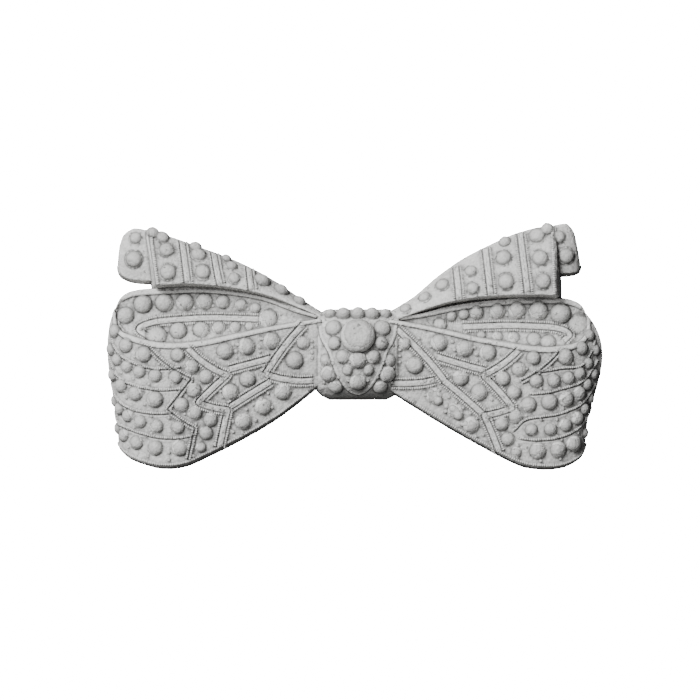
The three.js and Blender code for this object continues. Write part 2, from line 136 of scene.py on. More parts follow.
RIGHT_TAIL = (
    [
        (TUCKED, 7.6, 0.9), (21.5, 11.3, 0.9), (30.5, 14.1, 0.93), (39.8, 15.8, 0.96), (48.8, 16.5, 0.96),
        (55.5, 16.7, 1), (60.8, 16.7, 1), (64.2, 16.6, 1), (66.8, 16.4, 1),
    ],
    [
        (TUCKED, 10.6, 0.75), (19.8, 16, 0.5), (27.5, 22.7, 0.36), (35.8, 28.5, 0.36), (44.8, 33.2, 0.36),
        (52.2, 36.5, 0.38), (58.8, 38.5, 0.42), (63.2, 39.3, 0.46), (66.5, 39.5, 0.5),
    ],
)
LEFT_CURL = (
    [(62, 21.8, 1), (70.2, 21.4, 1), (75.2, 22, 0.9), (78, 23.5, 0.7), (79.2, 26.3, 0.45)],
    [(64, 36.5, 1), (72.5, 38.6, 0.85), (75.2, 38, 0.75), (77.2, 36.3, 0.6), (78.5, 33.3, 0.45)],
)
RIGHT_CURL = (
    [(62, 24.2, 1), (68.8, 23.9, 1), (71.8, 24, 0.9), (74, 24.6, 0.7), (74.8, 26.6, 0.45)],
    [(62, 38.5, 1), (69.2, 40.2, 0.85), (71.2, 39.4, 0.75), (72.7, 37.3, 0.6), (73.7, 33.3, 0.45)],
)


def along_rail(points, t):
    """The smooth curve through a rail's points, from its first (t = 0) to its last (t = 1)."""
    knots = np.array(points, float)
    ahead = 2 * knots[-1] - knots[-2]
    behind = 2 * knots[0] - knots[1]
    padded = np.vstack([behind, knots, ahead])
    place = np.clip(t, 0, 1) * (len(knots) - 1)
    start = np.minimum(place.astype(int), len(knots) - 2)
    f = (place - start)[:, None]
    p0, p1, p2, p3 = (padded[start + k] for k in range(4))
    cubic = 3 * p1 - p0 - 3 * p2 + p3
    square = 2 * p0 - 5 * p1 + 4 * p2 - p3
    return 0.5 * (2 * p1 + (p2 - p0) * f + square * f**2 + cubic * f**3)


def face_profile(low, high, v):
    rounded = EDGE_DROP * np.exp(-np.clip(v, 0, 1) / EDGE_SHARE)
    return low + (high - low) * v + FACE_SWELL * (np.sin(np.pi * v) - 0.5) - rounded


def hollow_profile(low, high, v):
    return low + (high - low) * v - HOLLOW_DIP * np.sin(np.pi * v)


def tail_profile(low, high, v):
    return low + (high - low) * np.clip(v, 0, 1) ** TAIL_SWEEP


def curl_profile(low, high, v):
    return low + (high - low) * v + CURL_SWELL * np.sin(np.pi * v)


class Ribbon:
    """A skin stretched between a low rail and a high rail.

    Its far end may belly out sideways, by the belly's full size at two thirds of the way up.
    """

    def __init__(self, side, rails, rise, profile, belly=0.0):
        self.side = side
        self.low, self.high = rails
        self.rise = rise
        self.profile = profile
        self.belly = belly

    def at(self, u, v):
        low = along_rail(self.low, u)
        high = along_rail(self.high, u)
        place = low + (high - low) * v[:, None]
        bulge = self.belly * np.clip(u, 0, 1) ** BELLY_REACH * BELLY_FULL * v * v * (1 - v)
        rise = self.profile(low[:, 2] * self.rise, high[:, 2] * self.rise, v)
        return np.column_stack([self.side * (place[:, 0] + bulge), -rise, place[:, 1]])


class KnotBand:
    """The band drawn round the middle: rolled at the top and the foot, slightly crowned across."""

    side = 1

    def at(self, u, v):
        across = 2 * u - 1
        up = np.clip(2 * v - 1, -1, 1)
        roll = np.sqrt(1 - np.abs(up) ** KNOT_ROLL)
        crown = 1 - KNOT_CROWN * across**2
        corner = np.maximum(0, (np.abs(up) - (1 - KNOT_CORNER)) / KNOT_CORNER) ** 2
        waist = KNOT_WAIST * (1 - up**2)
        width = 1 - waist - np.where(up > 0, KNOT_SHOULDER, KNOT_HEEL) * corner
        x = KNOT_MIDDLE[0] + KNOT_WIDE / 2 * across * width
        z = KNOT_MIDDLE[1] + KNOT_TALL / 2 * up
        return np.column_stack([x, -(KNOT_EDGE_RISE + (KNOT_RISE - KNOT_EDGE_RISE) * roll * crown), z])


def normal_on(form, u, v):
    """Which way a form faces at each point, from its slope over a small step."""
    step = 0.003
    east = form.at(np.minimum(u + step, 1), v) - form.at(np.maximum(u - step, 0), v)
    north = form.at(u, np.minimum(v + step, 1)) - form.at(u, np.maximum(v - step, 0))
    normal = np.cross(east, north) * form.side
    return normal / np.linalg.norm(normal, axis=1, keepdims=True)


def shell_of(form, columns, rows, drafts):
    """The front skin, its walls, which lean out by way of a knee, and its flat back."""
    low_draft, end_draft, high_draft = drafts
    u, v = np.meshgrid(np.linspace(0, 1, columns + 1), np.linspace(0, 1, rows + 1), indexing="ij")
    skin = form.at(u.ravel(), v.ravel())

    def index(i, j):
        return i * (rows + 1) + j

    faces = [
        (index(i, j), index(i + 1, j), index(i + 1, j + 1), index(i, j + 1))
        for i in range(columns)
        for j in range(rows)
    ]
    rim = [(index(i, 0), low_draft) for i in range(columns)]
    rim += [(index(columns, j), end_draft) for j in range(rows)]
    rim += [(index(i, rows), high_draft) for i in range(columns, 0, -1)]
    rim += [(index(0, j), WALL_DRAFT) for j in range(rows, 0, -1)]
    ring = np.array([k for k, _ in rim])
    drafts = np.array([draft for _, draft in rim])
    tops = skin[ring]
    way = np.roll(tops, -1, axis=0) - np.roll(tops, 1, axis=0)
    outward = np.column_stack([way[:, 2], np.zeros(len(way)), -way[:, 0]]) * form.side
    outward /= np.maximum(np.linalg.norm(outward, axis=1, keepdims=True), 1e-9)
    feet = tops + outward * (drafts * -tops[:, 1])[:, None]
    feet[:, 1] = 0
    knees = tops + outward * (np.minimum(drafts, KNEE_DRAFT) * -tops[:, 1])[:, None]
    knees[:, 1] = tops[:, 1] * KNEE_SHARE
    first = len(skin)
    count = len(ring)
    for k in range(count):
        after = (k + 1) % count
        faces.append((ring[k], first + k, first + after, ring[after]))
        faces.append((first + k, first + count + k, first + count + after, first + after))
    faces.append(tuple(first + count + k for k in range(count - 1, -1, -1)))
    if form.side < 0:
        faces = [face[::-1] for face in faces]
    return np.vstack([skin, knees, feet]), faces


def ribbons(side, face, hollow, tail, curl, belly):
    return {
        "face": Ribbon(side, face, LOOP_RISE, face_profile, belly),
        "hollow": Ribbon(side, hollow, HOLLOW_RISE, hollow_profile),
        "tail": Ribbon(side, tail, TAIL_RISE, tail_profile),
        "curl": Ribbon(side, curl, CURL_RISE, curl_profile),
    }


FORMS = {
    "left": ribbons(-1, LEFT_FACE, LEFT_HOLLOW, LEFT_TAIL, LEFT_CURL, LEFT_BELLY),
    "right": ribbons(1, RIGHT_FACE, RIGHT_HOLLOW, RIGHT_TAIL, RIGHT_CURL, RIGHT_BELLY),
}
KNOT = KnotBand()


# Beads, stones and pellets.
# Domed beads stand in rows on every ribbon; small pellets fill the corners between them.
# Each spot is (along, up, radius); a row runs evenly from its first spot to its last.

BEAD_SWELL = 0.72
BEAD_SINK = 0.1
PELLET_SWELL = 1.0
PELLET_GROWTH = 1.25

FACE_ROWS = {
    "left": [
        ((0.61, 0.885, 2.75), (0.895, 0.93, 2.3), 3),
        ((0.44, 0.73, 2.3), (0.94, 0.745, 2.1), 6),
        ((0.54, 0.54, 2.75), (0.92, 0.56, 2.3), 4),
        ((0.43, 0.32, 2.25), (0.93, 0.345, 2.1), 6),
        ((0.42, 0.15, 2.7), (0.89, 0.15, 2.1), 5),
        ((0.43, 0.91, 2.4), (0.31, 0.69, 2.5), 3),
        ((0.36, 0.6, 2.5), (0.415, 0.5, 2.5), 2),
        ((0.355, 0.41, 2.4), (0.295, 0.3, 2.4), 2),
        ((0.31, 0.2, 2.3), (0.33, 0.095, 1.8), 2),
        ((0.245, 0.87, 2.8), (0.115, 0.85, 2.85), 3),
        ((0.23, 0.48, 2.8), (0.18, 0.54, 2.7), 2),
        ((0.195, 0.15, 2.8), (0.195, 0.15, 2.8), 1),
        ((0.04, 0.72, 2.2), (0.06, 0.54, 2.95), 2),
    ],
    "right": [
        ((0.625, 0.91, 2.75), (0.625, 0.91, 2.75), 1),
        ((0.775, 0.93, 2.3), (0.89, 0.94, 2.0), 2),
        ((0.445, 0.72, 2.3), (0.74, 0.73, 2.2), 4),
        ((0.83, 0.76, 2.0), (0.93, 0.78, 1.9), 2),
        ((0.515, 0.55, 2.75), (0.735, 0.56, 2.4), 3),
        ((0.82, 0.585, 2.0), (0.91, 0.6, 1.9), 2),
        ((0.425, 0.31, 2.1), (0.715, 0.355, 2.3), 4),
        ((0.8, 0.385, 2.0), (0.89, 0.41, 1.9), 2),
        ((0.455, 0.14, 2.75), (0.68, 0.155, 2.75), 3),
        ((0.83, 0.16, 1.9), (0.83, 0.16, 1.9), 1),
        ((0.43, 0.91, 2.4), (0.295, 0.68, 2.5), 3),
        ((0.34, 0.59, 2.5), (0.41, 0.515, 2.6), 2),
        ((0.35, 0.39, 2.4), (0.29, 0.28, 2.4), 2),
        ((0.315, 0.17, 2.3), (0.355, 0.09, 1.8), 2),
        ((0.245, 0.88, 2.8), (0.105, 0.85, 2.85), 3),
        ((0.215, 0.49, 2.8), (0.16, 0.56, 2.7), 2),
        ((0.187, 0.14, 2.8), (0.187, 0.14, 2.8), 1),
        ((0.03, 0.72, 2.1), (0.05, 0.5, 2.9), 2),
    ],
}
FOOT_ROW = ((0.14, 0.2, 2.8), (0.088, 0.245, 2.8), 2)
BATTERED_SWELL = 0.4
LUMPS = [
    (0.15, 0.17, 1.6), (0.135, 0.21, 1.3), (0.098, 0.215, 1.5),
    (0.082, 0.26, 1.2), (0.118, 0.2, 0.9), (0.17, 0.13, 0.8),
]
LUMP_SWELL = 0.9
WORN_PATCH = (0.84, 0.42, 4.0)
WORN_PATCH_SWELL = 0.3
HOLLOW_ROWS = {
    "left": [
        ((0.84, 0.5, 2.9), (0.715, 0.74, 3.1), 2),
        ((0.615, 0.75, 3.05), (0.45, 0.75, 2.75), 3),
        ((0.39, 0.75, 2.3), (0.27, 0.66, 1.7), 3),
        ((0.56, 0.26, 2.9), (0.46, 0.26, 2.75), 2),
        ((0.395, 0.27, 2.25), (0.28, 0.23, 1.6), 3),
    ],
    "right": [
        ((0.69, 0.7, 3.5), (0.565, 0.76, 3.2), 2),
        ((0.465, 0.77, 2.85), (0.31, 0.76, 2.3), 3),
        ((0.263, 0.74, 1.85), (0.215, 0.71, 1.75), 2),
    ],
}
HOLLOW_FLAT = {
    "left": [(0.655, 0.17, 3.6), (0.21, 0.4, 3.3)],
    "right": [
        (0.155, 0.4, 2.4), (0.305, 0.2, 1.5), (0.37, 0.2, 1.8),
        (0.44, 0.22, 2.0), (0.53, 0.21, 2.4), (0.6, 0.15, 2.7),
    ],
}
FLAT_SWELL = 0.42
COLLET_SWELL = 0.32
STONE_SHARE = 0.83
STONE_SWELL = 0.44
STONE_LIFT = 0.13
TAIL_ROWS = {
    "left": [
        ((0.86, 0.955, 2.6), (0.86, 0.955, 2.6), 1),
        ((0.83, 0.71, 3.0), (0.825, 0.25, 3.15), 2),
        ((0.62, 0.8, 3.0), (0.58, 0.35, 3.05), 2),
        ((0.445, 0.79, 2.3), (0.42, 0.36, 2.35), 2),
    ],
    "right": [
        ((0.78, 0.89, 3.2), (0.805, 0.2, 3.05), 3),
        ((0.55, 0.68, 3.1), (0.535, 0.25, 3.15), 2),
        ((0.39, 0.65, 2.35), (0.375, 0.24, 2.35), 2),
        ((0.255, 0.66, 2.7), (0.07, 0.61, 2.2), 3),
    ],
}
TAIL_EDGE_ROWS = {
    "left": [
        ((0.3, 0.7, 2.95), (0.11, 0.75, 2.4), 3),
        ((0.94, 0.99, 2.2), (0.64, 0.99, 2.2), 2),
        ((0.475, 0.98, 1.7), (0.475, 0.98, 1.7), 1),
    ],
    "right": [
        ((0.89, 0.97, 2.2), (0.575, 0.95, 2.0), 2),
    ],
}
CURL_ROWS = {
    "left": [((0.3, 0.82, 2.3), (0.385, 0.41, 3.15), 2)],
    "right": [((0.18, 0.75, 2.5), (0.315, 0.35, 3.0), 2)],
}

# On the knot the first number of a spot is how far it stands to either side of the middle.
KNOT_PAIRS = [
    (0.29, 0.628, 2.3), (0.19, 0.476, 2.35), (0.4, 0.44, 2.0), (0.13, 0.324, 1.8),
    (0.365, 0.283, 2.7), (0.27, 0.136, 2.45),
]
KNOT_CREST = [(0, 0.948, 2.5), (0.19, 0.945, 2.5), (0.37, 0.95, 1.9)]
KNOT_COLLET = (0.3, 0.8, 2.75)
KNOT_COLLET_SWELL = 0.58
CREST_SWELL = 1.15
KNOT_MIDDLE_BEADS = [(0, 0.44, 2.85), (0, 0.189, 2.85)]
KNOT_CABOCHON = (0, 0.712, 5.7)
CABOCHON_PROFILE = [
    (1.0, -0.2), (1.0, 0.03), (0.97, 0.14), (0.9, 0.26),
    (0.79, 0.36), (0.66, 0.43), (0.57, 0.455), (0.2, 0.47),
]
CABOCHON_SIDES = 48
KNOT_PELLETS = [
    (0.31, 0.403, 0.7), (0.24, 0.246, 0.7), (0.12, 0.209, 0.65), (0.1, 0.419, 0.6),
    (0.43, 0.607, 0.6), (0.44, 0.356, 0.6), (0.41, 0.189, 0.6),
]

FACE_PELLETS = [
    (0.07, 0.37, 0.55), (0.1, 0.33, 0.5), (0.125, 0.31, 0.5), (0.145, 0.29, 0.5), (0.165, 0.27, 0.5),
    (0.185, 0.25, 0.55), (0.205, 0.23, 0.5), (0.07, 0.2, 0.5), (0.115, 0.14, 0.6), (0.16, 0.1, 0.6),
    (0.2, 0.05, 0.5), (0.225, 0.1, 0.5), (0.225, 0.2, 0.5), (0.14, 0.9, 0.6), (0.145, 0.82, 0.6),
    (0.145, 0.77, 0.5), (0.205, 0.9, 0.55), (0.21, 0.84, 0.6), (0.21, 0.78, 0.5), (0.085, 0.78, 0.5),
    (0.06, 0.84, 0.5), (0.02, 0.62, 0.5), (0.02, 0.54, 0.5), (0.02, 0.46, 0.5), (0.02, 0.7, 0.5),
    (0.16, 0.62, 0.5), (0.205, 0.4, 0.5), (0.255, 0.46, 0.45), (0.26, 0.52, 0.45), (0.28, 0.79, 0.5),
    (0.27, 0.74, 0.45), (0.37, 0.7, 0.45), (0.4, 0.81, 0.5), (0.34, 0.48, 0.5), (0.4, 0.42, 0.5),
    (0.29, 0.38, 0.5), (0.35, 0.31, 0.45), (0.36, 0.15, 0.5), (0.46, 0.24, 0.5), (0.36, 0.05, 0.55),
    (0.47, 0.06, 0.55), (0.58, 0.07, 0.55), (0.72, 0.08, 0.5),
]
ROW_PELLETS = [
    (0.47, 0.4, 0.55), (0.56, 0.4, 0.5), (0.675, 0.4, 0.5), (0.56, 0.26, 0.5), (0.675, 0.26, 0.45),
    (0.47, 0.66, 0.5), (0.575, 0.655, 0.5), (0.685, 0.66, 0.5), (0.79, 0.66, 0.5),
    (0.6, 0.48, 0.5), (0.74, 0.48, 0.5), (0.6, 0.61, 0.45), (0.68, 0.84, 0.5), (0.52, 0.83, 0.5),
    (0.59, 0.225, 0.45), (0.72, 0.225, 0.45), (0.47, 0.12, 0.5), (0.52, 0.945, 0.5),
]
HOLLOW_PELLETS = [
    (0.49, 0.64, 0.5), (0.57, 0.64, 0.45), (0.42, 0.67, 0.45), (0.36, 0.66, 0.4), (0.3, 0.62, 0.4),
    (0.43, 0.19, 0.45), (0.36, 0.19, 0.4), (0.25, 0.22, 0.45), (0.24, 0.28, 0.4),
]


def spaced(row):
    """The spots of a row, one after the other."""
    first, last, count = row
    for k in range(count):
        t = k / (count - 1) if count > 1 else 0
        yield tuple(a + (b - a) * t for a, b in zip(first, last))


class Spots:
    """Places for domes: where each stands, which way it faces and how far it reaches."""

    def __init__(self):
        self.places = []
        self.facings = []
        self.reaches = []

    def add(self, form, u, v, radius, swell, sink=BEAD_SINK, lift=0.0):
        along, up = np.array([float(u)]), np.array([float(v)])
        normal = normal_on(form, along, up)[0]
        self.places.append(form.at(along, up)[0] + normal * (lift - sink * radius))
        self.facings.append(normal)
        self.reaches.append((radius, radius, radius * swell))

    def add_row(self, form, row, swell):
        for u, v, radius in spaced(row):
            self.add(form, u, v, radius, swell)

    def add_collet(self, form, u, v, radius):
        """A stone in a low collet: a flat dome with a smaller one standing in it."""
        self.add(form, u, v, radius, COLLET_SWELL)
        self.add(form, u, v, radius * STONE_SHARE, STONE_SWELL, lift=radius * STONE_LIFT)

    def add_collets(self, form, row):
        for u, v, radius in spaced(row):
            self.add_collet(form, u, v, radius)


def set_out_beads():
    beads = Spots()
    for side, forms in FORMS.items():
        for row in FACE_ROWS[side]:
            beads.add_row(forms["face"], row, BEAD_SWELL)
        beads.add_row(forms["face"], FOOT_ROW, BEAD_SWELL if side == "left" else BATTERED_SWELL)
        for row in HOLLOW_ROWS[side]:
            beads.add_row(forms["hollow"], row, BEAD_SWELL)
        for u, v, radius in HOLLOW_FLAT[side]:
            beads.add(forms["hollow"], u, v, radius, FLAT_SWELL)
        for row in TAIL_ROWS[side]:
            beads.add_collets(forms["tail"], row)
        for row in TAIL_EDGE_ROWS[side]:
            beads.add_row(forms["tail"], row, BEAD_SWELL)
        for row in CURL_ROWS[side]:
            beads.add_collets(forms["curl"], row)
    for u, v, radius in LUMPS:
        beads.add(FORMS["right"]["face"], u, v, radius, LUMP_SWELL, sink=0.0)
    beads.add(FORMS["right"]["hollow"], *WORN_PATCH, WORN_PATCH_SWELL)
    for sign in (-1, 1):
        for sideways, up, radius in KNOT_PAIRS:
            beads.add(KNOT, 0.5 + sign * sideways, up, radius, BEAD_SWELL)
        for sideways, up, radius in KNOT_CREST[1:]:
            beads.add(KNOT, 0.5 + sign * sideways, up, radius, CREST_SWELL)
        beads.add(KNOT, 0.5 + sign * KNOT_COLLET[0], *KNOT_COLLET[1:], KNOT_COLLET_SWELL)
    beads.add(KNOT, 0.5 + KNOT_CREST[0][0], *KNOT_CREST[0][1:], CREST_SWELL)
    for sideways, up, radius in KNOT_MIDDLE_BEADS:
        beads.add(KNOT, 0.5 + sideways, up, radius, BEAD_SWELL)
    return beads


def worn_cabochon():
    """The large stone on the knot: a turned dome whose crown is worn to a flat."""
    sideways, up, radius = KNOT_CABOCHON
    along, height = np.array([0.5 + sideways]), np.array([up])
    centre = KNOT.at(along, height)[0]
    axis = normal_on(KNOT, along, height)[0]
    east = np.cross([0, 0, 1], axis)
    east /= np.linalg.norm(east)
    north = np.cross(axis, east)
    vertices = []
    for reach, rise in CABOCHON_PROFILE:
        for k in range(CABOCHON_SIDES):
            angle = 2 * math.pi * k / CABOCHON_SIDES
            spoke = east * math.cos(angle) + north * math.sin(angle)
            vertices.append(centre + spoke * reach * radius + axis * rise * radius)
    faces = []
    for ring in range(len(CABOCHON_PROFILE) - 1):
        for k in range(CABOCHON_SIDES):
            after = (k + 1) % CABOCHON_SIDES
            a, b = ring * CABOCHON_SIDES, (ring + 1) * CABOCHON_SIDES
            faces.append((a + k, a + after, b + after, b + k))
    last = len(vertices) - CABOCHON_SIDES
    faces.append(tuple(range(CABOCHON_SIDES - 1, -1, -1)))
    faces.append(tuple(range(last, len(vertices))))
    return vertices, faces


def set_out_pellets():
    pellets = Spots()
    for forms in FORMS.values():
        for u, v, radius in FACE_PELLETS + ROW_PELLETS:
            pellets.add(forms["face"], u, v, radius * PELLET_GROWTH, PELLET_SWELL)
        for u, v, radius in HOLLOW_PELLETS:
            pellets.add(forms["hollow"], u, v, radius * PELLET_GROWTH, PELLET_SWELL)
    for sideways, up, radius in KNOT_PELLETS:
        for sign in (-1, 1):
            pellets.add(KNOT, 0.5 + sign * sideways, up, radius, PELLET_SWELL)
    return pellets


# Trims: low bars laid along the forms, as bands between cords, pairs of cords, cords and rims.
# Grains are strung along most cords, and the cut lines run beside or between them, shallow in the bars and
# darkened with painted shade.
# Each path is points on its form, as (along, up).

FACE_TRIM_RISE = 0.45
FLAT_TRIM_RISE = 0.34
CORD_MIDDLE = 1.6
PAIR_MIDDLE = 0.62
LIPPED_MIDDLE = 0.45
LIPPED_GROOVE = -0.14
RIM_GROOVE = -0.7
CORD_GROOVE = 0.65
TAIL_END_GROOVE = 0.845
GRAIN_PITCH = 0.74
GRAIN_RADIUS = 0.35
GRAIN_SWELL = 0.9
STRING_LIFT = 0.9
ROOT = 0.7
TRACE_POINTS = 400
STATION_PITCH = 0.4

# The trims' sections from the low side to the high side, as (sideways in mm, share of the rise).
BAND = [
    (-2.5, -0.3), (-2.05, 0.4), (-1.6, 0.8), (-1.25, 0.55), (-1.05, -0.2), (-0.85, 0.75), (-0.5, 1.0),
    (0.5, 1.0), (0.85, 0.75), (1.05, -0.2), (1.25, 0.55), (1.6, 0.8), (2.05, 0.4), (2.5, -0.3),
]
BAND_GROOVES = (-1.05, 1.05)
PAIR = [
    (-1.3, -0.3), (-0.95, 0.5), (-0.62, 1.0), (-0.34, 0.8), (-0.14, -0.05),
    (0.14, -0.05), (0.34, 0.8), (0.62, 1.0), (0.95, 0.5), (1.3, -0.3),
]
LIPPED = [
    (-1.1, -0.2), (-0.75, 0.2), (-0.4, 0.35), (-0.22, -0.1), (-0.05, -0.1),
    (0.12, 0.75), (0.45, 1.0), (0.75, 0.75), (1.1, -0.2),
]
CORD = [(-0.7, -0.3), (-0.3, 0.75), (0.0, 1.0), (0.3, 0.75), (0.7, -0.3)]
RIM = [(-0.62, -0.3), (-0.42, 0.7), (-0.2, 1.0), (0.2, 1.0), (0.42, 0.7), (0.62, -0.3)]

FACE_BANDS = {
    "left": [
        [(0.385, 0.955), (0.24, 0.645), (0.34, 0.485), (0.24, 0.325), (0.265, 0.03)],
        [(0.23, 0.69), (0.12, 0.67)],
        [(0.04, 0.955), (0.13, 0.53)],
        [(0.13, 0.52), (0.078, 0.355), (0.02, 0.14)],
        [(0.12, 0.42), (0.23, 0.345)],
    ],
    "right": [
        [(0.36, 0.955), (0.23, 0.66), (0.335, 0.455), (0.23, 0.29), (0.28, 0.03)],
        [(0.235, 0.71), (0.1, 0.69)],
        [(0.015, 0.88), (0.115, 0.47)],
        [(0.09, 0.42), (0.05, 0.28), (0.005, 0.12)],
        [(0.115, 0.46), (0.225, 0.295)],
    ],
}
FACE_CORDS = {
    "left": [(0.57, 0.94), (0.37, 0.7), (0.475, 0.47), (0.355, 0.28), (0.385, 0.05)],
    "right": [(0.575, 0.95), (0.375, 0.7)],
}
ROW_CORDS = {
    "left": [
        [(0.42, 0.8), (0.62, 0.775), (0.85, 0.8), (0.97, 0.84)],
        [(0.42, 0.625), (0.66, 0.6), (0.84, 0.6), (0.97, 0.65)],
        [(0.46, 0.435), (0.66, 0.4), (0.84, 0.4), (0.97, 0.44)],
        [(0.36, 0.22), (0.5, 0.23), (0.7, 0.225), (0.85, 0.2), (0.97, 0.22)],
    ],
    "right": [
        [(0.445, 0.79), (0.6, 0.81), (0.78, 0.78), (0.95, 0.83)],
        [(0.42, 0.6), (0.615, 0.64), (0.78, 0.64), (0.95, 0.67)],
        [(0.345, 0.26), (0.42, 0.395), (0.615, 0.44), (0.76, 0.45), (0.95, 0.48)],
        [(0.375, 0.21), (0.535, 0.235), (0.75, 0.26), (0.95, 0.29)],
    ],
}
FACE_RIM = [(0.0, 0.975), (0.3, 0.975), (0.6, 0.972), (0.8, 0.972), (1.0, 0.972)]
FACE_FOOT = [(0.03, 0.03), (0.3, 0.026), (0.6, 0.022), (0.9, 0.03)]
HOLLOW_BAND = [(0.7, 0.15), (0.745, 0.25), (0.7, 0.36), (0.6, 0.44), (0.42, 0.45), (0.25, 0.38)]
HOLLOW_RIM = [(0.02, 0.85), (0.15, 0.88), (0.35, 0.92), (0.6, 0.93), (0.88, 0.92)]
TAIL_BANDS = {
    "left": [
        [(0.72, 0.98), (0.67, 0.06)],
        [(0.54, 0.97), (0.475, 0.08)],
        [(0.37, 0.95), (0.335, 0.1)],
    ],
    "right": [
        [(0.67, 0.98), (0.66, 0.05)],
        [(0.475, 0.97), (0.445, 0.06)],
        [(0.335, 0.9), (0.305, 0.07)],
    ],
}
FOLD = [(0.985, 0.8), (0.97, 0.45), (0.92, 0.2), (0.85, 0.08)]
FOLD_RISE = 0.6
TAIL_END_CORD = [(0.955, 0.98), (0.955, 0.02)]
KNOT_SLANT = [
    (0.465, 0.859), (0.445, 0.691), (0.35, 0.523), (0.285, 0.356), (0.2, 0.209), (0.1, 0.094), (0.0, 0.052),
]
KNOT_SIDE = 0.475
KNOT_SIDE_UPS = (0.1, 0.3, 0.5, 0.7, 0.9)
KNOT_SIDE_RISE = 0.204


def walk(form, path, smooth):
    """Evenly spaced stations along a path on a form: their places, sideways and normals."""
    points = np.array([(u, v, 0.0) for u, v in path])
    fine = np.linspace(0, 1, TRACE_POINTS)
    if smooth:
        trace = along_rail(points, fine)
    else:
        marks = np.linspace(0, 1, len(points))
        trace = np.column_stack([np.interp(fine, marks, column) for column in points.T])
    places = form.at(trace[:, 0], trace[:, 1])
    lengths = np.concatenate([[0], np.cumsum(np.linalg.norm(np.diff(places, axis=0), axis=1))])
    stations = np.linspace(0, lengths[-1], max(3, int(lengths[-1] / STATION_PITCH)))
    u = np.interp(stations, lengths, trace[:, 0])
    v = np.interp(stations, lengths, trace[:, 1])
    places = form.at(u, v)
    ahead = np.gradient(places, axis=0)
    ahead /= np.linalg.norm(ahead, axis=1, keepdims=True)
    normals = normal_on(form, u, v)
    sideways = np.cross(normals, ahead) * form.side
    sideways /= np.linalg.norm(sideways, axis=1, keepdims=True)
    return places, sideways, normals


def bar_on(walked, section, rise):
    """A low bar laid along a walk: its section, closed by a root that goes into the form."""
    places, sideways, normals = walked
    raised = [(across, off * rise) for across, off in section]
    outline = [(raised[0][0], -ROOT)] + raised + [(raised[-1][0], -ROOT)]
    rings = [places + sideways * across + normals * off for across, off in outline]
    corners = len(outline)
    vertices = np.stack(rings, axis=1).reshape(-1, 3)
    count = len(places)
    faces = []
    for k in range(count - 1):
        for c in range(corners):
            a = k * corners + c
            b = k * corners + (c + 1) % corners
            faces.append((a, b, b + corners, a + corners))
    faces.append(tuple(range(corners - 1, -1, -1)))
    faces.append(tuple(range((count - 1) * corners, count * corners)))
    return vertices, faces


class Trims:
    """The bars of every trim, the grains strung along them, and where their cut lines run, to be darkened
    with painted shade.
    """

    def __init__(self):
        self.bars = []
        self.grains = Spots()
        self.marks = []
        self.ways = []
        self.shaded_grooves = []
        self.groove_sides = []

    def lay(self, form, path, section, rise, strings, shaded_grooves, smooth=True):
        walked = walk(form, path, smooth)
        self.bars.append(bar_on(walked, section, rise))
        places, sideways, normals = walked
        for offset in strings:
            self.string(places + sideways * offset + normals * rise * STRING_LIFT, normals)
        for offset in shaded_grooves:
            self.shaded_grooves.extend(places + sideways * offset)
            self.groove_sides.extend(sideways)

    def string(self, line, normals):
        """Grains along a line, each with its number on the string and the step to the next."""
        steps = np.linalg.norm(np.diff(line, axis=0), axis=1)
        lengths = np.concatenate([[0], np.cumsum(steps)])
        count = max(2, round(lengths[-1] / GRAIN_PITCH))
        stations = np.linspace(0, lengths[-1], count + 1)
        places = np.column_stack([np.interp(stations, lengths, column) for column in line.T])
        facings = np.column_stack([np.interp(stations, lengths, column) for column in normals.T])
        self.grains.places.extend(places)
        self.grains.facings.extend(facings)
        reach = (GRAIN_RADIUS, GRAIN_RADIUS, GRAIN_RADIUS * GRAIN_SWELL)
        self.grains.reaches.extend([reach] * len(places))
        self.marks.extend(range(len(places)))
        self.ways.extend(np.gradient(places, axis=0))

    def band(self, form, path, rise, smooth=False):
        self.lay(form, path, BAND, rise, (-CORD_MIDDLE, CORD_MIDDLE), BAND_GROOVES, smooth)

    def pair(self, form, path, rise):
        self.lay(form, path, PAIR, rise, (-PAIR_MIDDLE, PAIR_MIDDLE), (0,), smooth=False)

    def lipped(self, form, path, rise):
        self.lay(form, path, LIPPED, rise, (LIPPED_MIDDLE,), (LIPPED_GROOVE,))

    def cord(self, form, path, rise, strings=(0,), shaded_grooves=()):
        self.lay(form, path, CORD, rise, strings, shaded_grooves)

    def rim(self, form, path, rise):
        self.lay(form, path, RIM, rise, (), (RIM_GROOVE,))


def set_out_trims():
    trims = Trims()
    for side, forms in FORMS.items():
        for path in FACE_BANDS[side]:
            trims.band(forms["face"], path, FACE_TRIM_RISE)
        trims.pair(forms["face"], FACE_CORDS[side], FACE_TRIM_RISE)
        for path in ROW_CORDS[side]:
            trims.lipped(forms["face"], path, FACE_TRIM_RISE)
        trims.rim(forms["face"], FACE_RIM, FLAT_TRIM_RISE)
        trims.cord(forms["face"], FACE_FOOT, FLAT_TRIM_RISE)
        trims.band(forms["hollow"], HOLLOW_BAND, FACE_TRIM_RISE, smooth=True)
        trims.rim(forms["hollow"], HOLLOW_RIM, FLAT_TRIM_RISE)
        for path in TAIL_BANDS[side]:
            trims.band(forms["tail"], path, FLAT_TRIM_RISE)
        trims.cord(forms["tail"], TAIL_END_CORD, FLAT_TRIM_RISE, shaded_grooves=(TAIL_END_GROOVE,))
    trims.cord(FORMS["left"]["hollow"], FOLD, FOLD_RISE, strings=())
    for sign in (-1, 1):
        slant = [(0.5 + sign * sideways, up) for sideways, up in KNOT_SLANT]
        edge = [(0.5 + sign * KNOT_SIDE, up) for up in KNOT_SIDE_UPS]
        trims.cord(KNOT, slant, FLAT_TRIM_RISE, strings=(), shaded_grooves=(sign * CORD_GROOVE,))
        trims.cord(KNOT, edge, KNOT_SIDE_RISE, strings=())
    return trims
